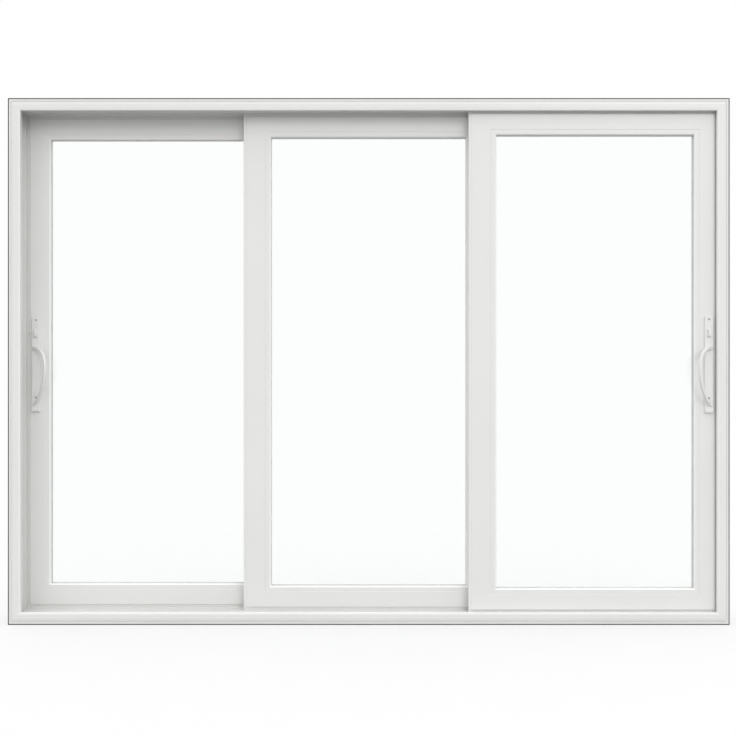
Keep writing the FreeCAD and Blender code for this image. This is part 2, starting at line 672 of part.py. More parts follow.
def handle_plate(name, x, y):
    """Tall narrow plate with a raised foot, two screw holes and the hole of the thumb turn."""
    body = new_body(f"{name}_handle_plate")
    cornered_plate(body, "dims.plate_height")
    wide = "(dims.plate_width / 2 - dims.foot_inset)"
    low = "(dims.foot_inset - dims.plate_height / 2)"
    outline = rectangle(f"-{wide}", low, wide, f"{low} + dims.foot_height")
    reach = "(dims.plate_thickness + dims.foot_rise)"
    foot = pad(body, polygon_sketch(body, "XZ_Plane", "foot_outline", [outline]), "foot", reach)
    doc.recompute()
    bevel_face(body, foot, "foot_edge", reach, "dims.foot_inset")
    circles = [("0", "dims.upper_screw", "dims.plate_screw_radius"),
               ("0", "-dims.lower_screw", "dims.plate_screw_radius"),
               ("0", "dims.turn_rise", "dims.turn_hole")]
    cut_through(body, circle_sketch(body, "XZ_Plane", "hole_circles", circles), "holes")
    place(body, x, y, "dims.handle_height")
    return keep(body, f"{name}_handle_plate")


def thumb_turn(name, x, y):
    """Oblong tapered blade with a round spindle that sits in the plate's hole."""
    body = new_body(f"{name}_thumb_turn")
    wide, tall = "dims.turn_width / 2", "dims.turn_length / 2"
    outline = rectangle(f"-{wide}", f"-{tall}", wide, tall)
    sketch = polygon_sketch(body, "XZ_Plane", "blade_outline", [outline])
    blade = pad(body, sketch, "blade", "dims.turn_reach")
    blade.setExpression("TaperAngle", "-dims.turn_taper * 1 deg")
    doc.recompute()
    cornered = soften(body, blade, corner_edges(blade.Shape), "corners", "dims.turn_corner")
    bevel_face(body, cornered, "front_edge", "dims.turn_reach", "dims.turn_edge")
    circle = ("0", "0", "dims.turn_hole - dims.spindle_play")
    spindle = circle_sketch(body, "XZ_Plane", "spindle_circle", [circle])
    pad(body, spindle, "spindle", "dims.plate_thickness", reverse=True)
    place(body, x, f"{y} - dims.plate_thickness - dims.seat_clearance",
          "dims.handle_height + dims.turn_rise")
    return keep(body, f"{name}_thumb_turn")


def bow_path(body, top, reach, bend, straight_end, bow):
    """Path of a pull: out from the plate, round a bend, down, and back on a second bend."""
    sketch = new_sketch(body, "XZ_Plane", "bow_path")
    z_top, x_out, r_top, z_end, r_low = (value(item) for item in (top, reach, bend, straight_end, bow))
    normal = FreeCAD.Vector(0, 0, 1)
    upper = Part.Circle(FreeCAD.Vector(x_out - r_top, z_top - r_top, 0), normal, r_top)
    lower = Part.Circle(FreeCAD.Vector(x_out - r_low, z_end, 0), normal, r_low)
    fall = -math.acos((r_low - x_out) / r_low)
    sketch.addGeometry([
        Part.LineSegment(FreeCAD.Vector(0, z_top, 0), FreeCAD.Vector(x_out - r_top, z_top, 0)),
        Part.ArcOfCircle(upper, 0, math.pi / 2),
        Part.LineSegment(FreeCAD.Vector(x_out, z_top - r_top, 0), FreeCAD.Vector(x_out, z_end, 0)),
        Part.ArcOfCircle(lower, fall, 0),
    ], False)
    first, last = PLACES.index("start"), PLACES.index("end")
    constrain(sketch, [
        ("Horizontal", (0,), None),
        ("Vertical", (2,), None),
        ("Tangent", (0, last, 1, last), None),
        ("Tangent", (1, first, 2, first), None),
        ("Tangent", (2, last, 3, last), None),
        ("DistanceX", (0, first), "0"),
        ("DistanceY", (0, first), top),
        ("DistanceX", (2, first), reach),
        ("DistanceY", (2, last), straight_end),
        ("Radius", (1,), bend),
        ("Radius", (3,), bow),
        ("DistanceX", (3, first), "0"),
    ])
    return sketch


def bar_section(body, role, height):
    """Section of a pull bar: a regular outline of equal flats round a point at a height."""
    corners = []
    for number in range(BAR_FLATS):
        angle = f"({number} + 0.5) * 360 deg / {BAR_FLATS}"
        corners.append((f"dims.bar_radius * cos({angle})", f"{height} + dims.bar_radius * sin({angle})"))
    return polygon_sketch(body, role, "bar_section", [corners])


def sweep_bar(body, section, path):
    """Bar of one section along a path."""
    pipe = body.newObject("PartDesign::AdditivePipe", "bar")
    pipe.Profile = section
    pipe.Spine = (path, [f"Edge{number}" for number in range(1, len(path.Geometry) + 1)])
    doc.recompute()
    return pipe


def pull(name, x, y, side):
    """Bowed pull that leans towards the glass, cut flush with the plate's face."""
    body = new_body(f"{name}_pull")
    root = "dims.pull_root"
    path = bow_path(body, "dims.pull_top", f"{root} + dims.pull_reach", "dims.pull_bend",
                    "-dims.pull_apex", "dims.pull_bow")
    sweep_bar(body, bar_section(body, "YZ_Plane", "dims.pull_top"), path)
    cosine, sine = "cos(dims.pull_tilt * 1 deg)", "sin(dims.pull_tilt * 1 deg)"
    lean = "-" if side < 0 else ""
    away = "" if side < 0 else "-"
    end_a = (f"{root} + {away}{TRIM_REACH} * {sine}", f"{TRIM_REACH} * {cosine}")
    end_b = (f"{root} - {away}{TRIM_REACH} * {sine}", f"-{TRIM_REACH} * {cosine}")
    behind_x, behind_y = f"{TRIM_REACH} * {cosine}", f"{lean}{TRIM_REACH} * {sine}"
    outline = [end_a, end_b, (f"{end_b[0]} - {behind_x}", f"{end_b[1]} - ({behind_y})"),
               (f"{end_a[0]} - {behind_x}", f"{end_a[1]} - ({behind_y})")]
    cut_through(body, polygon_sketch(body, "XY_Plane", "plate_plane", [outline]), "flush_cut")
    tilt = value("dims.pull_tilt")
    turn = tilt - 90 if side < 0 else -tilt - 90
    sideways = f"{x} {'-' if side < 0 else '+'} (dims.pull_offset + {root} * {sine})"
    place(body, sideways, f"{y} - dims.plate_thickness + {root} * {cosine}", "dims.handle_height",
          turn, (0, 0, 1))
    return keep(body, f"{name}_pull")


def outer_pull(name, x, y):
    """Outside pull: a rounded plate and a straight-out bow in one casting."""
    body = new_body(f"{name}_outer_pull")
    cornered_plate(body, "dims.outer_plate_height")
    sketch = new_sketch(body, "YZ_Plane", "bow_path")
    half, bend = value("dims.outer_span / 2"), value("dims.outer_bend")
    start, out = -value("dims.plate_thickness / 2"), -value("dims.plate_thickness + dims.outer_reach")
    normal = FreeCAD.Vector(0, 0, 1)
    upper = Part.Circle(FreeCAD.Vector(out + bend, half - bend, 0), normal, bend)
    lower = Part.Circle(FreeCAD.Vector(out + bend, bend - half, 0), normal, bend)
    sketch.addGeometry([
        Part.LineSegment(FreeCAD.Vector(start, half, 0), FreeCAD.Vector(out + bend, half, 0)),
        Part.ArcOfCircle(upper, math.pi / 2, math.pi),
        Part.LineSegment(FreeCAD.Vector(out, half - bend, 0), FreeCAD.Vector(out, bend - half, 0)),
        Part.ArcOfCircle(lower, math.pi, 3 * math.pi / 2),
        Part.LineSegment(FreeCAD.Vector(out + bend, -half, 0), FreeCAD.Vector(start, -half, 0)),
    ], False)
    first, last = PLACES.index("start"), PLACES.index("end")
    constrain(sketch, [
        ("Horizontal", (0,), None),
        ("Vertical", (2,), None),
        ("Horizontal", (4,), None),
        ("Tangent", (0, last, 1, first), None),
        ("Tangent", (1, last, 2, first), None),
        ("Tangent", (2, last, 3, first), None),
        ("Tangent", (3, last, 4, first), None),
        ("DistanceX", (0, first), "-dims.plate_thickness / 2"),
        ("DistanceY", (0, first), "dims.outer_span / 2"),
        ("DistanceX", (2, first), "-(dims.plate_thickness + dims.outer_reach)"),
        ("Radius", (1,), "dims.outer_bend"),
        ("Radius", (3,), "dims.outer_bend"),
        ("DistanceX", (4, last), "-dims.plate_thickness / 2"),
        ("DistanceY", (4, last), "-dims.outer_span / 2"),
    ])
    section = bar_section(body, "XZ_Plane", "dims.outer_span / 2")
    section.AttachmentOffset = FreeCAD.Placement(FreeCAD.Vector(0, 0, -start), FreeCAD.Rotation())
    section.setExpression(".AttachmentOffset.Base.z", "dims.plate_thickness / 2")
    sweep_bar(body, section, sketch)
    place(body, x, y, "dims.handle_height", 180, (0, 0, 1))
    return keep(body, f"{name}_outer_pull")


def build():
    """The frame, the three panels and the lock sets of the two that slide."""
    outer_frame()
    end = "(dims.frame_width / 2 - dims.frame_face + dims.jamb_engagement)"
    facing = (f"(dims.meeting_overlap - dims.fin_inset - 2 * dims.fin_thickness"
              f" - 2 * dims.fin_lip - {FIN_GAP})")
    panel("right", RIGHT, f"({end} - {PANEL_WIDTH})", 1, {-1: [("back", "dims.fin_inset")]})
    panel("left", LEFT, f"-{end}", -1, {1: [("front", "dims.fin_inset")]})
    panel("middle", MIDDLE, f"(-{PANEL_WIDTH} / 2)", 0,
          {-1: [("back", facing)], 1: [("front", facing)]})
    lock_set("right", RIGHT, end, 1)
    lock_set("left", LEFT, f"-{end}", -1)


build()
doc.recompute()

broken = [item.Name for item in doc.Objects if "Invalid" in item.State or "Error" in item.State]
if broken:
    raise SystemExit(f"features that failed: {broken}")
for piece in pieces:
    shape = piece.Shape
    if shape.isNull() or not shape.isValid() or not shape.Solids:
        raise SystemExit(f"{piece.Label} has no valid solid")

os.makedirs("parts", exist_ok=True)
for piece in pieces:
    piece.Shape.exportStep(os.path.join("parts", f"{piece.Label}.step"))
print(f"{len(pieces)} sub-parts, {sum(len(piece.Shape.Solids) for piece in pieces)} solids")
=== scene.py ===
"""Finishes, small fittings and studio for a three-panel sliding patio door.

Metres, +Z up, the room side faces -Y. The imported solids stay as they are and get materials. Pulls,
thumb turns and screws are worked out here as smooth surfaces.
"""

import math

import bpy
import numpy as np
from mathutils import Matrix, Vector


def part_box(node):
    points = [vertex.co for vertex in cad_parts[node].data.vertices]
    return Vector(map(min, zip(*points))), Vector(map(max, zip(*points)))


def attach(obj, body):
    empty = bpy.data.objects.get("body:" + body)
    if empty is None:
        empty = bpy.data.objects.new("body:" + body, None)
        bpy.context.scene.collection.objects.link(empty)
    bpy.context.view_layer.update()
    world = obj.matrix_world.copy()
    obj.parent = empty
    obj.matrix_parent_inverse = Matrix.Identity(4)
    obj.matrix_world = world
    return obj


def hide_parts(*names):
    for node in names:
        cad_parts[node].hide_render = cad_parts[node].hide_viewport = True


bl_info = {
    "name": "Sliding Patio Door Finish",
    "version": (1, 0, 0),
    "blender": (4, 5, 0),
    "location": "View3D > Sidebar > Patio Door",
    "description": "Dresses a glazed sliding door with vinyl, glass, alloy and enamelled hardware",
    "category": "Object",
}

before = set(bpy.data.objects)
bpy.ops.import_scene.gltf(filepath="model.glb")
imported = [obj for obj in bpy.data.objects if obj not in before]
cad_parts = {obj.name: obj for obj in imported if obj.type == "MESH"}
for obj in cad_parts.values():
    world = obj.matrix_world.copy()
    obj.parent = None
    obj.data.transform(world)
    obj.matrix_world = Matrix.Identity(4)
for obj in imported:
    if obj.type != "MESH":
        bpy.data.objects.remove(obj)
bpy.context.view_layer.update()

SIDES = {"left": -1, "right": 1}
PANELS = ("left", "middle", "right")
STILES = [f"{side}_{place}_stile" for side in SIDES for place in ("lock", "meeting")]
STILES += ["middle_left_stile", "middle_right_stile"]
RAILS = [f"{panel}_{place}_rail" for panel in PANELS for place in ("top", "bottom")]

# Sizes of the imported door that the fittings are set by, in metres.
PLATE_MIDDLE = 0.989
PLATE_THICKNESS = 0.008
PULL_OFFSET = 0.005
OUTER_HALF = 0.135
OUTER_CORNER = 0.004
OUTER_EDGE = 0.0025
KEEPER_THICKNESS = 0.0025
KEEPER_INSET = 0.013

# Screws: heights from the middle of the handle plates, then each head's dome and recess, behind its
# radius where that isn't a setting.
PLATE_SCREWS, PLATE_HEAD, PLATE_SINK = (0.172, -0.129), (0.0016, 0.0012), 0.0035
FACEPLATE_SCREWS, FACEPLATE_HEAD = (-0.085, 0.085), (0.0035, 0.0009, 0.0007)
KEEPER_SCREWS, KEEPER_HEAD = (-0.062, 0.062), (0.004, 0.0014, 0.0010)

# Powers of the superellipses that the pulls and thumb turns have as sections.
BAR_POWER = 4.2
TURN_POWER = 4.5


# Shader maths

def feed(tree, place, value):
    """Link a socket to what feeds it, or set its value."""
    if isinstance(value, Shade):
        value = value.socket
    if isinstance(value, bpy.types.NodeSocket):
        tree.links.new(value, place)
    else:
        place.default_value = value


class Shade:
    """A number that varies over a surface. Arithmetic on it adds Math nodes to its tree."""

    def __init__(self, tree, socket):
        self.tree, self.socket = tree, socket

    def math(self, operation, *values):
        node = self.tree.nodes.new("ShaderNodeMath")
        node.operation = operation
        for place, value in zip(node.inputs, values):
            feed(self.tree, place, value)
        return Shade(self.tree, node.outputs[0])

    def __add__(self, other):
        return self.math("ADD", self, other)

    def __radd__(self, other):
        return self.math("ADD", other, self)

    def __sub__(self, other):
        return self.math("SUBTRACT", self, other)

    def __rsub__(self, other):
        return self.math("SUBTRACT", other, self)

    def __mul__(self, other):
        return self.math("MULTIPLY", self, other)

    def __rmul__(self, other):
        return self.math("MULTIPLY", other, self)

    def step(self, low, high):
        """0 below low, 1 above high, straight between them."""
        share = (self - low) * (1 / (high - low))
        return share.math("MINIMUM", share.math("MAXIMUM", share, 0), 1)


class Board:
    """A node tree that nodes are added to."""

    def __init__(self, tree):
        self.tree = tree

    def node(self, kind, settings=None, values=None):
        """Any node: its settings first, then the values or links of its sockets."""
        node = self.tree.nodes.new(f"ShaderNode{kind}")
        for name, setting in (settings or {}).items():
            setattr(node, name, setting)
        for name, value in (values or {}).items():
            feed(self.tree, node.inputs[name], value)
        return node

    def shade(self, node, output):
        """A node's output as a number to reckon with."""
        return Shade(self.tree, node.outputs[output])

    def either(self, *rays):
        """1 where the ray is of one of these kinds, such as Camera, and 0 elsewhere."""
        path = self.node("LightPath")
        share = self.shade(path, f"Is {rays[0]} Ray")
        for ray in rays[1:]:
            share = share.math("MAXIMUM", share, self.shade(path, f"Is {ray} Ray"))
        return share

    def mix_shaders(self, share, first, second):
        """A node that mixes what two nodes give; share 0 is the first alone."""
        return self.node("MixShader", None,
                         {"Fac": share, 1: first.outputs[0], 2: second.outputs[0]})


class Recipe(Board):
    """The node tree of one material, with its Principled shader."""

    def __init__(self, name):
        self.material = bpy.data.materials.new(name)
        self.material.use_nodes = True
        super().__init__(self.material.node_tree)
        self.shader = self.tree.nodes["Principled BSDF"]
        self.output = self.tree.nodes["Material Output"]

    def place(self, scale=(1, 1, 1)):
        """Object coordinates, stretched along the axes."""
        coordinates = self.node("TexCoord").outputs["Object"]
        mapping = self.node("Mapping", {"vector_type": "POINT"},
                            {"Vector": coordinates, "Scale": scale})
        return mapping.outputs["Vector"]

    def noise(self, scale, stretch=(1, 1, 1), detail=3, roughness=0.5):
        """Soft noise from 0 to 1; scale counts waves in a metre."""
        node = self.node("TexNoise", {"noise_dimensions": "3D"},
                         {"Vector": self.place(stretch), "Scale": scale, "Detail": detail,
                          "Roughness": roughness})
        return self.shade(node, "Fac")

    def pores(self, scale):
        """Distance to the nearest of many scattered points."""
        node = self.node("TexVoronoi", {"feature": "F1"}, {"Vector": self.place(), "Scale": scale})
        return self.shade(node, "Distance")

    def blend(self, share, first, second):
        """Colour between two colours."""
        node = self.node("Mix", {"data_type": "RGBA"})
        for name, value in (("Factor_Float", share), ("A_Color", first), ("B_Color", second)):
            place = next(item for item in node.inputs if item.identifier == name)
            feed(self.tree, place, value)
        return next(item for item in node.outputs if item.identifier == "Result_Color")

    def set(self, **values):
        """Values or links of the Principled shader; underscores stand for blanks."""
        for name, value in values.items():
            feed(self.tree, self.shader.inputs[name.replace("_", " ")], value)

    def bump(self, height, distance):
        """Feed a height, as a share of a distance in metres, to the shader's normal."""
        node = self.node("Bump", None, {"Height": height, "Distance": distance, "Strength": 1.0})
        self.set(Normal=node.outputs["Normal"])

    def finish_with(self, node):
        """Let another node give the surface."""
        feed(self.tree, self.output.inputs["Surface"], node.outputs[0])


def tone(colour, factor):
    """A colour times a factor, with full alpha."""
    return tuple(min(1.0, part * factor) for part in colour[:3]) + (1.0,)


# How a pattern is stretched: along Z, along X, or not at all.
UPRIGHT, LEVEL, EVEN = (1, 1, 0.01), (0.01, 1, 1), (1, 1, 1)


def vinyl(name, colour, roughness, run, edge):
    """Extruded vinyl: faint cloudiness, drawn lines along the run and a fine satin grain.

    Bevelled edges, where the object's own normal lies between face and side, take the colour times
    edge, a painted highlight along the bevels where edge is over 1.
    """
    recipe = Recipe(name)
    normal = recipe.node("TexCoord").outputs["Normal"]
    facing = recipe.shade(recipe.node("SeparateXYZ", None, {"Vector": normal}), "Y")
    facing = facing.math("ABSOLUTE", facing)
    # Mask of the bevels that take the painted highlight.
    highlit_bevel = facing.step(0.3, 0.5) * (1 - facing.step(0.8, 0.95))
    cloud = recipe.noise(2.3, detail=4)
    lines = recipe.noise(420, stretch=run, detail=2)
    grain = recipe.noise(1500, detail=2, roughness=0.6)
    face = recipe.blend(cloud.step(0.3, 0.7), tone(colour, 0.975), tone(colour, 1.0))
    recipe.set(
        Base_Color=recipe.blend(highlit_bevel, face, tone(colour, edge)),
        Roughness=roughness + 0.10 * (lines - 0.5) + 0.06 * (cloud - 0.5),
        IOR=1.5,
    )
    recipe.bump(0.6 * lines + 0.4 * grain, 0.00004)
    return recipe.material


def rubber(name, colour, roughness):
    """Extruded rubber or foam with closed pores."""
    recipe = Recipe(name)
    pores = recipe.pores(900)
    cloud = recipe.noise(30, detail=3)
    recipe.set(
        Base_Color=recipe.blend(cloud, tone(colour, 0.85), tone(colour, 1.15)),
        Roughness=roughness + 0.15 * (pores - 0.5),
        IOR=1.5,
    )
    recipe.bump(pores, 0.0001)
    return recipe.material


def drawn_metal(name, colour, roughness, run):
    """Bare metal with fine lines along its run and slight staining."""
    recipe = Recipe(name)
    lines = recipe.noise(900, stretch=run, detail=3)
    stain = recipe.noise(14, detail=5)
    recipe.set(
        Base_Color=recipe.blend(stain.step(0.35, 0.8), tone(colour, 1.0), tone(colour, 0.82)),
        Metallic=1.0,
        Roughness=roughness + 0.18 * (lines - 0.5) + 0.12 * (stain - 0.5),
    )
    recipe.bump(lines, 0.00003)
    return recipe.material


def moulded_nylon(name, colour):
    """Moulded nylon: a waxy sheen with flow marks."""
    recipe = Recipe(name)
    flow = recipe.noise(45, detail=4)
    grain = recipe.noise(1200, detail=2)
    recipe.set(
        Base_Color=recipe.blend(flow, tone(colour, 0.92), tone(colour, 1.03)),
        Roughness=0.42 + 0.12 * (flow - 0.5),
        IOR=1.53,
    )
    recipe.bump(0.5 * flow + 0.5 * grain, 0.00005)
    return recipe.material


def enamel(name, colour, roughness):
    """Sprayed enamel on cast metal: slight orange peel under a smooth coat."""
    recipe = Recipe(name)
    peel = recipe.noise(260, detail=2, roughness=0.4)
    cloud = recipe.noise(20, detail=3)
    recipe.set(
        Base_Color=recipe.blend(cloud, tone(colour, 0.97), tone(colour, 1.0)),
        Roughness=roughness + 0.08 * (cloud - 0.5),
        Coat_Weight=0.25,
        Coat_Roughness=0.12,
        IOR=1.5,
    )
    recipe.bump(peel, 0.00006)
    return recipe.material


def clear_glass(name, colour):
    """Float glass that lets light and shadow rays straight through."""
    recipe = Recipe(name)
    ripple = recipe.noise(1.6, detail=1)
    recipe.set(Base_Color=tone(colour, 1.0), Roughness=0.0, IOR=1.45, Transmission_Weight=1.0)
    recipe.bump(ripple, 0.0004)
    clear = recipe.node("BsdfTransparent", None, {"Color": tone(colour, 0.99)})
    passing = recipe.either("Shadow", "Diffuse")
    recipe.finish_with(recipe.mix_shaders(passing, recipe.shader, clear))
    return recipe.material


def dress(nodes, material):
    """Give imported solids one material."""
    for name in nodes:
        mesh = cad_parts[name].data
        mesh.materials.clear()
        mesh.materials.append(material)


# Surfaces

def shell(rings):
    """Closed surface over rings of points (rings, points, 3), with a pole at each end.

    Each ring joins the next by quads, and the end rings are filled by fans to their own middles.
    """
    count, around = rings.shape[:2]
    points = np.vstack([rings.reshape(-1, 3), rings[0].mean(axis=0), rings[-1].mean(axis=0)])
    ring, step = np.meshgrid(np.arange(count - 1), np.arange(around), indexing="ij")
    here, after = ring * around + step, ring * around + (step + 1) % around
    quads = np.stack([here, after, after + around, here + around], axis=-1).reshape(-1, 4)
    step = np.arange(around)
    turn = (step + 1) % around
    first = np.stack([np.full(around, count * around), turn, step], axis=-1)
    last_ring = (count - 1) * around
    last = np.stack([np.full(around, count * around + 1), last_ring + step, last_ring + turn],
                    axis=-1)
    return points, quads, np.vstack([first, last])


def enclosed(points, quads, triangles):
    """Six times the volume that a closed surface encloses, negative if it is inside out."""
    corners = np.vstack([triangles, quads[:, [0, 1, 2]], quads[:, [0, 2, 3]]])
    a, b, c = (points[corners[:, k]] for k in range(3))
    return float(np.einsum("ij,ij->i", a, np.cross(b, c)).sum())


def make_piece(name, shells, material, body, replaced=(), crease=40):
    """Join closed surfaces into one smooth mesh that rides on a body."""
    points, faces, offset = [], [], 0
    for surface, quads, triangles in shells:
        if enclosed(surface, quads, triangles) < 0:
            quads, triangles = quads[:, ::-1], triangles[:, ::-1]
        points.append(surface)
        faces += (quads + offset).tolist() + (triangles + offset).tolist()
        offset += len(surface)
    mesh = bpy.data.meshes.new(name)
    mesh.from_pydata(np.vstack(points), [], faces)
    mesh.polygons.foreach_set("use_smooth", np.ones(len(mesh.polygons), dtype=bool))
    mesh.set_sharp_from_angle(angle=math.radians(crease))
    mesh.materials.append(material)
    mesh.update()
    piece = bpy.data.objects.new(name, mesh)
    bpy.context.scene.collection.objects.link(piece)
    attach(piece, body)
    if replaced:
        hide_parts(*replaced)
    return piece


def oval(angle, half_wide, half_tall, power):
    """Superellipse: cosine and sine raised to 2 / power, signs kept, times the half sizes."""
    across, along = np.cos(angle), np.sin(angle)
    return (half_wide * np.sign(across) * np.abs(across) ** (2 / power),
            half_tall * np.sign(along) * np.abs(along) ** (2 / power))


def path_pieces(*pieces):
    """Join runs of points and drop each run's repeated first point."""
    return np.vstack([pieces[0]] + [piece[1:] for piece in pieces[1:]])


def straight(start, end, count):
    """Points evenly spaced on a straight line."""
    share = np.linspace(0, 1, count)[:, None]
    return np.array(start) * (1 - share) + np.array(end) * share


def arc(centre, radius, start, end, count):
    """Points on a circle between two angles in degrees."""
    angle = np.radians(np.linspace(start, end, count))[:, None]
    return np.array(centre) + radius * np.hstack([np.cos(angle), np.sin(angle)])


def swept_bar(path, outward, sideways, foot, thick, wide, around=48):
    """Bar carried along a path of (out, up) pairs in an upright plane.

    Each ring is a superellipse across the path: its first axis lies in the plane, at right angles
    to the path's direction, its second is the plane's own normal. thick and wide are half sizes
    for each point of the path.
    """
    ahead = np.gradient(path, axis=0)
    ahead /= np.linalg.norm(ahead, axis=1)[:, None]
    in_plane = np.stack([-ahead[:, 1], ahead[:, 0]], axis=1)
    angle = np.linspace(0, 2 * np.pi, around, endpoint=False)
    first, second = oval(angle, 1.0, 1.0, BAR_POWER)
    flat = path[:, None, :] + thick[:, None, None] * first[None, :, None] * in_plane[:, None, :]
    rings = (np.array(foot) + flat[..., 0:1] * np.array(outward)
             + flat[..., 1:2] * np.array((0, 0, 1))
             + (wide[:, None] * second[None, :])[..., None] * np.array(sideways))
    return shell(rings)


def rounded_slab(centre, half_wide, half_tall, corner, thickness, edge, outward, around=24):
    """Plate with round corners and a rounded front edge.

    Rings of a rounded rectangle run up the side, then draw in along a quarter circle to the face.
    """
    turn = np.radians(np.linspace(0, 90, around // 4 + 1))
    quarter = np.stack([np.cos(turn), np.sin(turn)], axis=1)
    swing = np.radians(np.linspace(0, 90, 7))
    insets = np.concatenate([[0], edge * (1 - np.cos(swing)), [edge + corner * 0.4]])
    rises = np.concatenate([[0], thickness - edge + edge * np.sin(swing), [thickness]])
    rings = []
    for inset, rise in zip(insets, rises):
        radius = max(corner - inset, corner * 0.1)
        reach = np.array([half_wide - inset - radius, half_tall - inset - radius])
        outline = []
        for number, signs in enumerate(((1, 1), (-1, 1), (-1, -1), (1, -1))):
            bend = quarter if number % 2 == 0 else quarter[::-1]
            outline.append(np.array(signs) * (reach + radius * bend))
        flat = np.vstack(outline)
        rings.append(np.stack([centre[0] + flat[:, 0],
                               np.full(len(flat), centre[1] + outward * rise),
                               centre[2] + flat[:, 1]], axis=1))
    return shell(np.array(rings))


def screw_head(centre, axis, radius, dome, recess):
    """Domed head with a cross recess.

    Height over (radius, angle) is a parabola, less a recess where the point lies within either of
    two crossed bars, with tapered walls between bars and dome. The last ring is at height zero, and
    a skirt of the same width closes the head below.
    """
    around, steps = 64, 20
    share = np.linspace(0.02, 1, steps)[:, None]
    angle = np.linspace(0, 2 * np.pi, around, endpoint=False)[None, :]
    x, y = share * np.cos(angle), share * np.sin(angle)
    height = dome * (1 - 0.55 * share ** 2) + 0 * angle
    height[-1] = 0
    bar = np.minimum(np.maximum(np.abs(x) / 0.62, np.abs(y) / 0.17),
                     np.maximum(np.abs(y) / 0.62, np.abs(x) / 0.17))
    height -= recess * np.clip((1.15 - bar) / 0.35, 0, 1)
    axis = np.array(axis, float)
    side = np.array((0.0, 0.0, 1.0))
    other = np.cross(axis, side)
    top = (np.array(centre) + radius * (x[..., None] * side + y[..., None] * other)
           + height[..., None] * axis)
    skirt = top[-1] - axis * dome
    return shell(np.vstack([top, skirt[None]]))


# Settings

class VinylSettings(bpy.types.PropertyGroup):
    """Colours and sheen of the vinyl."""

    frame_colour: bpy.props.FloatVectorProperty(
        name="Frame colour", description="Vinyl of the outer frame", subtype="COLOR", size=3,
        min=0, max=1, default=(0.80, 0.80, 0.785))
    panel_colour: bpy.props.FloatVectorProperty(
        name="Panel colour", description="Vinyl of stiles and rails", subtype="COLOR", size=3,
        min=0, max=1, default=(0.80, 0.80, 0.785))
    bead_colour: bpy.props.FloatVectorProperty(
        name="Bead colour", description="Vinyl of the glazing beads", subtype="COLOR", size=3,
        min=0, max=1, default=(0.80, 0.80, 0.785))
    roughness: bpy.props.FloatProperty(
        name="Roughness", description="Sheen of the vinyl, 0 is a mirror", subtype="FACTOR",
        min=0, max=1, default=0.36)


class GlazingSettings(bpy.types.PropertyGroup):
    """Colours of the glass and what holds it."""

    glass_colour: bpy.props.FloatVectorProperty(
        name="Glass colour", description="Tint of each sheet", subtype="COLOR", size=3,
        min=0, max=1, default=(0.985, 0.995, 0.99))
    gasket_colour: bpy.props.FloatVectorProperty(
        name="Gasket colour", description="Glazing gaskets", subtype="COLOR", size=3,
        min=0, max=1, default=(0.80, 0.80, 0.79))
    # Near black: a foam seal that also serves as painted shade, drawing the dark line round the
    # frame's outer edge.
    seal_and_shade_colour: bpy.props.FloatVectorProperty(
        name="Seal colour", description="Seal round the outer frame", subtype="COLOR", size=3,
        min=0, max=1, default=(0.07, 0.07, 0.068))


class HardwareSettings(bpy.types.PropertyGroup):
    """Sizes and colours of handles and screws."""

    enamel_colour: bpy.props.FloatVectorProperty(
        name="Enamel colour", description="Plates, pulls and thumb turns", subtype="COLOR", size=3,
        min=0, max=1, default=(0.80, 0.80, 0.785))
    bar_thickness: bpy.props.FloatProperty(
        name="Bar thickness", description="Pull bar, measured towards the fingers", unit="LENGTH",
        min=0.006, max=0.018, default=0.0112)
    bar_width: bpy.props.FloatProperty(
        name="Bar width", description="Pull bar, measured along the fingers", unit="LENGTH",
        min=0.006, max=0.018, default=0.0116)
    screw_radius: bpy.props.FloatProperty(
        name="Screw radius", description="Heads of the handle screws", unit="LENGTH",
        min=0.002, max=0.005, default=0.0039)


class StudioSettings(bpy.types.PropertyGroup):
    """Camera, lamp and sky."""

    camera_distance: bpy.props.FloatProperty(
        name="Camera distance", description="From the frame's front face", unit="LENGTH",
        min=1, max=20, default=4.5)
    lens: bpy.props.FloatProperty(
        name="Lens", description="Focal length in millimetres", min=20, max=200, default=58.0)
    key_power: bpy.props.FloatProperty(
        name="Key lamp", description="Soft lamp above and to the right of the camera, in watts",
        min=0, default=560)
    sky: bpy.props.FloatProperty(
        name="Sky", description="Soft light from all round", subtype="FACTOR", min=0, max=2,
        default=1.38)


# Pieces

class PATIO_OT_vinyl(bpy.types.Operator):
    """Vinyl on the frame, the stiles and rails and the glazing beads"""

    bl_idname = "patio.vinyl"
    bl_label = "Finish Vinyl"

    def execute(self, context):
        look = context.scene.patio_vinyl
        # Frame and bead bevels get a painted highlight (1.18 times the colour); the panels' bevels
        # keep their colour.
        painted_highlight, plain = 1.18, 1.0
        beads = [f"{panel}_bead" for panel in PANELS]
        for name, nodes, colour, direction, edge in (
                ("frame_vinyl_upright", ["left_jamb", "right_jamb"], look.frame_colour, UPRIGHT,
                 painted_highlight),
                ("frame_vinyl_level", ["head_frame", "sill_frame"], look.frame_colour, LEVEL, painted_highlight),
                ("panel_vinyl_upright", STILES, look.panel_colour, UPRIGHT, plain),
                ("panel_vinyl_level", RAILS, look.panel_colour, LEVEL, plain),
                ("bead_vinyl", beads, look.bead_colour, EVEN, painted_highlight)):
            dress(nodes, vinyl(name, tuple(colour), look.roughness, direction, edge))
        return {"FINISHED"}


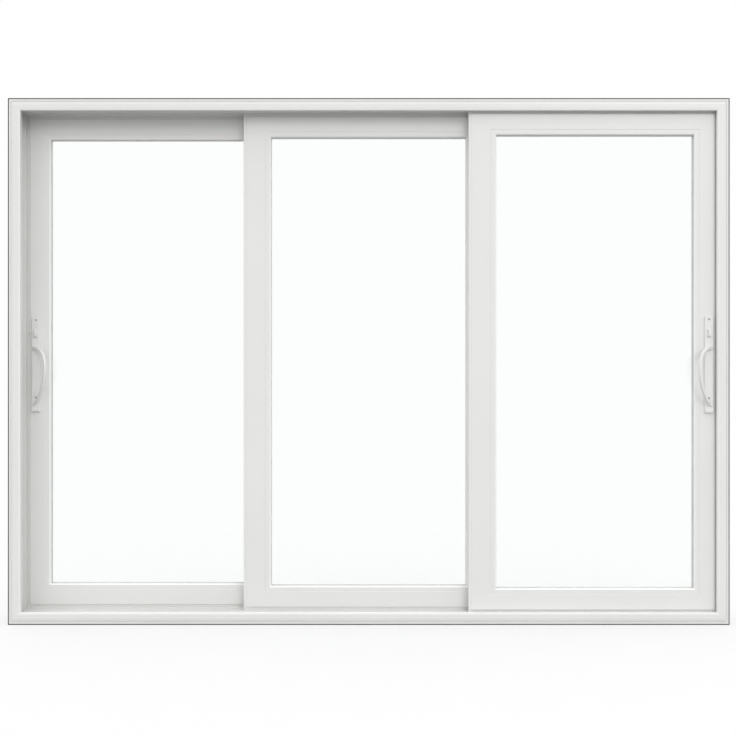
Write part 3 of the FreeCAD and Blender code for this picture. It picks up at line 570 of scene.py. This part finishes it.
class PATIO_OT_glazing(bpy.types.Operator):
    """Glass, spacer bars, gaskets and the seal round the frame"""

    bl_idname = "patio.glazing"
    bl_label = "Finish Glazing"

    def execute(self, context):
        look = context.scene.patio_glazing
        dress([f"{panel}_glass" for panel in PANELS],
              clear_glass("float_glass", tuple(look.glass_colour)))
        dress([f"{panel}_spacer" for panel in PANELS],
              drawn_metal("spacer_alloy", (0.62, 0.63, 0.64), 0.38, EVEN))
        dress([f"{panel}_gaskets" for panel in PANELS],
              rubber("glazing_gasket", tuple(look.gasket_colour), 0.6))
        # The near-black seal is partly a real foam seal and partly painted shade, the dark outline
        # round the frame's outer edge.
        dress(["perimeter_seal"], rubber("perimeter_foam", tuple(look.seal_and_shade_colour), 0.8))
        return {"FINISHED"}


class PATIO_OT_ironmongery(bpy.types.Operator):
    """Rails, rollers, blocks, keepers, faceplates and handle plates"""

    bl_idname = "patio.ironmongery"
    bl_label = "Finish Ironmongery"

    def execute(self, context):
        look = context.scene.patio_hardware
        dress(["sill_tracks"], drawn_metal("track_alloy", (0.74, 0.75, 0.76), 0.32, LEVEL))
        dress(["lock_keepers", "left_lock_faceplate", "right_lock_faceplate"],
              drawn_metal("lock_steel", (0.62, 0.62, 0.61), 0.34, UPRIGHT))
        dress(["left_rollers", "right_rollers", "middle_blocks"],
              moulded_nylon("roller_nylon", (0.70, 0.70, 0.67)))
        finish = enamel("handle_enamel", tuple(look.enamel_colour), 0.30)
        dress([f"{side}_handle_plate" for side in SIDES], finish)
        return {"FINISHED"}


class PATIO_OT_pulls(bpy.types.Operator):
    """Bowed pulls on the room side of the two sliding panels"""

    bl_idname = "patio.pulls"
    bl_label = "Make Pulls"

    def execute(self, context):
        look = context.scene.patio_hardware
        # The path rises out of the plate at the top, bends down, and bows back into the plate.
        reach, lean, top = 0.072, math.radians(47.5), 0.062
        bend, bow, straight_end, buried = 0.068, 0.174, -0.015, 0.007
        fall = -math.degrees(math.acos((bow - reach - buried) / bow))
        path = path_pieces(
            straight((-buried, top), (reach - bend, top), 10),
            arc((reach - bend, top - bend), bend, 90, 0, 34),
            straight((reach, top - bend), (reach, straight_end), 6),
            arc((reach - bow, straight_end), bow, 0, fall, 40))
        # The bar thins out along its bow, and swells where it leaves the plate.
        bow_height, root_length = 0.14, 0.010
        drop = np.clip((straight_end - path[:, 1]) / bow_height, 0, 1)
        slim = 1 - 0.25 * drop ** 1.5
        root = np.exp(-np.maximum(path[:, 0], 0) / root_length) * (path[:, 1] > 0)
        for side, sign in SIDES.items():
            low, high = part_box(f"{side}_handle_plate")
            face = high.y - PLATE_THICKNESS
            bar = swept_bar(path, (-sign * math.sin(lean), -math.cos(lean), 0),
                            (sign * math.cos(lean), -math.sin(lean), 0),
                            ((low.x + high.x) / 2 + sign * PULL_OFFSET, face, PLATE_MIDDLE),
                            look.bar_thickness / 2 * (slim + 0.45 * root),
                            look.bar_width / 2 * (slim + 0.15 * root))
            make_piece(f"{side}_pull_bar", [bar], bpy.data.materials["handle_enamel"],
                       f"{side}_panel", (f"{side}_pull",))
        return {"FINISHED"}


class PATIO_OT_outer_pulls(bpy.types.Operator):
    """Pulls with their plates on the weather side"""

    bl_idname = "patio.outer_pulls"
    bl_label = "Make Outer Pulls"

    def execute(self, context):
        look = context.scene.patio_hardware
        half, bend, reach, buried = 0.100, 0.040, 0.046, 0.004
        path = path_pieces(
            straight((-buried, half), (reach - bend, half), 8),
            arc((reach - bend, half - bend), bend, 90, 0, 24),
            straight((reach, half - bend), (reach, bend - half), 24),
            arc((reach - bend, bend - half), bend, 0, -90, 24),
            straight((reach - bend, -half), (-buried, -half), 8))
        # The bar swells where it leaves the plate.
        root_length = 0.0045
        swell = 1 + 0.25 * np.exp(-np.maximum(path[:, 0], 0) / root_length)
        for side in SIDES:
            low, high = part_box(f"{side}_outer_pull")
            centre = ((low.x + high.x) / 2, low.y, PLATE_MIDDLE)
            plate = rounded_slab(centre, (high.x - low.x) / 2, OUTER_HALF, OUTER_CORNER,
                                 PLATE_THICKNESS, OUTER_EDGE, 1)
            bar = swept_bar(path, (0, 1, 0), (1, 0, 0),
                            (centre[0], low.y + PLATE_THICKNESS, centre[2]),
                            look.bar_thickness / 2 * swell, look.bar_width / 2 * swell)
            make_piece(f"{side}_outer_pull_casting", [plate, bar],
                       bpy.data.materials["handle_enamel"], f"{side}_panel",
                       (f"{side}_outer_pull",))
        return {"FINISHED"}


class PATIO_OT_thumb_turns(bpy.types.Operator):
    """Oblong thumb turns with their spindles"""

    bl_idname = "patio.thumb_turns"
    bl_label = "Make Thumb Turns"

    def execute(self, context):
        angle = np.linspace(0, 2 * np.pi, 72, endpoint=False)
        edge, reach, rim = 0.0012, 0.014, 0.0006
        round_pin, spindle, spindle_end, spindle_top = 2.0, (0.0059, 0.0059), -0.0078, -0.0002
        base, crown = (0.0085, 0.0165), (0.0036, 0.0124)
        # Stations from the spindle's end to the blade's crown: depth, half width, half height and
        # power. The blade draws in from its base to its crown, and a quarter circle closes it.
        stations = [(spindle_end, *spindle, round_pin), (spindle_top, *spindle, round_pin),
                    (0.0, *base, TURN_POWER), (rim, *base, TURN_POWER)]
        for share in np.linspace(0.06, 1, 10):
            left = (1 - share) ** 1.8
            stations.append((rim + share * (reach - edge - rim),
                             crown[0] + left * (base[0] - crown[0]),
                             crown[1] + left * (base[1] - crown[1]), TURN_POWER))
        for swing in np.radians(np.linspace(11, 88, 8)):
            inset = edge * (1 - math.cos(swing))
            stations.append((reach - edge + edge * math.sin(swing), crown[0] - inset,
                             crown[1] - inset, TURN_POWER))
        for side in SIDES:
            low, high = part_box(f"{side}_thumb_turn")
            centre_x, centre_z = (low.x + high.x) / 2, (low.z + high.z) / 2
            foot = low.y + reach
            rings = []
            for depth, half_wide, half_tall, power in stations:
                across, along = oval(angle, half_wide, half_tall, power)
                rings.append(np.stack([centre_x + across, np.full(len(angle), foot - depth),
                                       centre_z + along], axis=1))
            make_piece(f"{side}_turn_blade", [shell(np.array(rings))],
                       bpy.data.materials["handle_enamel"], f"{side}_turn",
                       (f"{side}_thumb_turn",))
        return {"FINISHED"}


class PATIO_OT_screws(bpy.types.Operator):
    """Screws of the handle plates, keepers and lock faceplates"""

    bl_idname = "patio.screws"
    bl_label = "Make Screws"

    def execute(self, context):
        look = context.scene.patio_hardware
        finish = drawn_metal("screw_steel", (0.50, 0.50, 0.49), 0.30, EVEN)
        for side, sign in SIDES.items():
            low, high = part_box(f"{side}_handle_plate")
            seat, middle = high.y - PLATE_THICKNESS + PLATE_SINK, (low.x + high.x) / 2
            heads = [screw_head((middle, seat, PLATE_MIDDLE + rise), (0, -1, 0), look.screw_radius,
                                *PLATE_HEAD) for rise in PLATE_SCREWS]
            make_piece(f"{side}_plate_screws", heads, finish, f"{side}_panel")
            low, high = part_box(f"{side}_lock_faceplate")
            edge, middle = (low.x if sign < 0 else high.x), (low.y + high.y) / 2
            heads = [screw_head((edge, middle, PLATE_MIDDLE + rise), (sign, 0, 0),
                                *FACEPLATE_HEAD) for rise in FACEPLATE_SCREWS]
            make_piece(f"{side}_faceplate_screws", heads, finish, f"{side}_panel")
        low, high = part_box("lock_keepers")
        heads = []
        for sign, edge, middle in ((-1, low.x + KEEPER_THICKNESS, high.y - KEEPER_INSET),
                                   (1, high.x - KEEPER_THICKNESS, low.y + KEEPER_INSET)):
            heads += [screw_head((edge, middle, PLATE_MIDDLE + rise), (-sign, 0, 0), *KEEPER_HEAD)
                      for rise in KEEPER_SCREWS]
        make_piece("keeper_screws", heads, finish, "root")
        return {"FINISHED"}


# Studio

def sky_shader(world, strength):
    """White for what the camera sees, also in gloss and through glass; soft light for the rest.

    The light is full a little above the horizon, and falls to a tenth a little below it.
    """
    world.use_nodes = True
    world.node_tree.nodes.clear()
    board = Board(world.node_tree)
    seen = board.either("Camera", "Glossy", "Transmission")
    ray = board.node("TexCoord").outputs["Generated"]
    height = board.shade(board.node("SeparateXYZ", None, {"Vector": ray}), "Z")
    light = strength * (0.1 + 0.9 * height.step(-0.1, 0.25))
    background = board.node("Background", None,
                            {"Color": (1, 1, 1, 1), "Strength": seen + (1 - seen) * light})
    board.node("OutputWorld", None, {"Surface": background.outputs["Background"]})


def floor_material():
    """Pale floor that keeps soft shadows near the door and fades into the white beyond.

    What the camera sees is half white of its own and half lit matt, which takes the shadows, and
    far from the door white alone. Everything else sees a plain grey.
    """
    recipe = Recipe("studio_floor")
    speckle = recipe.noise(60, detail=3)
    recipe.set(Base_Color=recipe.blend(speckle, (0.32, 0.32, 0.32, 1), (0.36, 0.36, 0.36, 1)),
               Roughness=0.9)
    length = recipe.node("VectorMath", {"operation": "LENGTH"}, {0: recipe.place((0.45, 1, 0))})
    far = recipe.shade(length, "Value").step(0.5, 2.6)
    matt = recipe.node("BsdfDiffuse", None, {"Color": (0.72, 0.72, 0.72, 1)})
    white = recipe.node("Emission", None, {"Color": (1, 1, 1, 1), "Strength": 1.0})
    shown = recipe.mix_shaders(0.50 + 0.50 * far, matt, white)
    seen = recipe.either("Camera", "Glossy", "Transmission")
    recipe.finish_with(recipe.mix_shaders(seen, recipe.shader, shown))
    return recipe.material


def soft_lamp(name, power, size, place, target):
    """Area lamp turned towards a point."""
    data = bpy.data.lights.new(name, "AREA")
    data.shape, data.energy = "RECTANGLE", power
    data.size, data.size_y = size
    lamp = bpy.data.objects.new(name, data)
    lamp.location = place
    lamp.rotation_mode = "QUATERNION"
    lamp.rotation_quaternion = (Vector(target) - Vector(place)).to_track_quat("-Z", "Y")
    bpy.context.scene.collection.objects.link(lamp)


class PATIO_OT_studio(bpy.types.Operator):
    """Floor, sky, lamp and camera"""

    bl_idname = "patio.studio"
    bl_label = "Set Studio"

    def execute(self, context):
        look = context.scene.patio_studio
        scene = context.scene
        scene.view_settings.view_transform = "Standard"
        scene.world = scene.world or bpy.data.worlds.new("studio_sky")
        sky_shader(scene.world, look.sky)

        mesh = bpy.data.meshes.new("studio_floor")
        half = 60.0
        corners = [(-half, -half, 0), (half, -half, 0), (half, half, 0), (-half, half, 0)]
        mesh.from_pydata(corners, [], [(0, 1, 2, 3)])
        mesh.materials.append(floor_material())
        floor = bpy.data.objects.new("studio_floor", mesh)
        scene.collection.objects.link(floor)

        soft_lamp("key_lamp", look.key_power, (7.0, 7.0), (7.0, -17.0, 9.0), (0, 0, 1.0))

        low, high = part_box("head_frame")
        data = bpy.data.cameras.new("camera")
        data.lens, data.sensor_width, data.clip_end = look.lens, 36.0, 100.0
        data.shift_x, data.shift_y = -0.0010, -0.0088
        camera = bpy.data.objects.new("camera", data)
        camera.location = (0, low.y - look.camera_distance, high.z / 2)
        camera.rotation_euler = (math.pi / 2, 0, 0)
        scene.collection.objects.link(camera)
        scene.camera = camera
        return {"FINISHED"}


OPERATORS = (PATIO_OT_vinyl, PATIO_OT_glazing, PATIO_OT_ironmongery, PATIO_OT_pulls,
             PATIO_OT_outer_pulls, PATIO_OT_thumb_turns, PATIO_OT_screws, PATIO_OT_studio)
SETTINGS = {"patio_vinyl": VinylSettings, "patio_glazing": GlazingSettings,
            "patio_hardware": HardwareSettings, "patio_studio": StudioSettings}


class PATIO_PT_panel(bpy.types.Panel):
    """Settings of the patio door and a button for each step"""

    bl_label = "Patio Door"
    bl_idname = "PATIO_PT_panel"
    bl_space_type = "VIEW_3D"
    bl_region_type = "UI"
    bl_category = "Patio Door"

    def draw(self, context):
        for name, kind in SETTINGS.items():
            box = self.layout.box()
            for item in kind.__annotations__:
                box.prop(getattr(context.scene, name), item)
        for operator in OPERATORS:
            self.layout.operator(operator.bl_idname)


def register():
    for name, kind in SETTINGS.items():
        bpy.utils.register_class(kind)
        setattr(bpy.types.Scene, name, bpy.props.PointerProperty(type=kind))
    for kind in OPERATORS + (PATIO_PT_panel,):
        bpy.utils.register_class(kind)


def unregister():
    for kind in reversed(OPERATORS + (PATIO_PT_panel,)):
        bpy.utils.unregister_class(kind)
    for name, kind in SETTINGS.items():
        delattr(bpy.types.Scene, name)
        bpy.utils.unregister_class(kind)


def main():
    """Dress the door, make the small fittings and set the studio."""
    register()
    for operator in OPERATORS:
        group, action = operator.bl_idname.split(".")
        getattr(getattr(bpy.ops, group), action)()


if __name__ == "__main__":
    main()
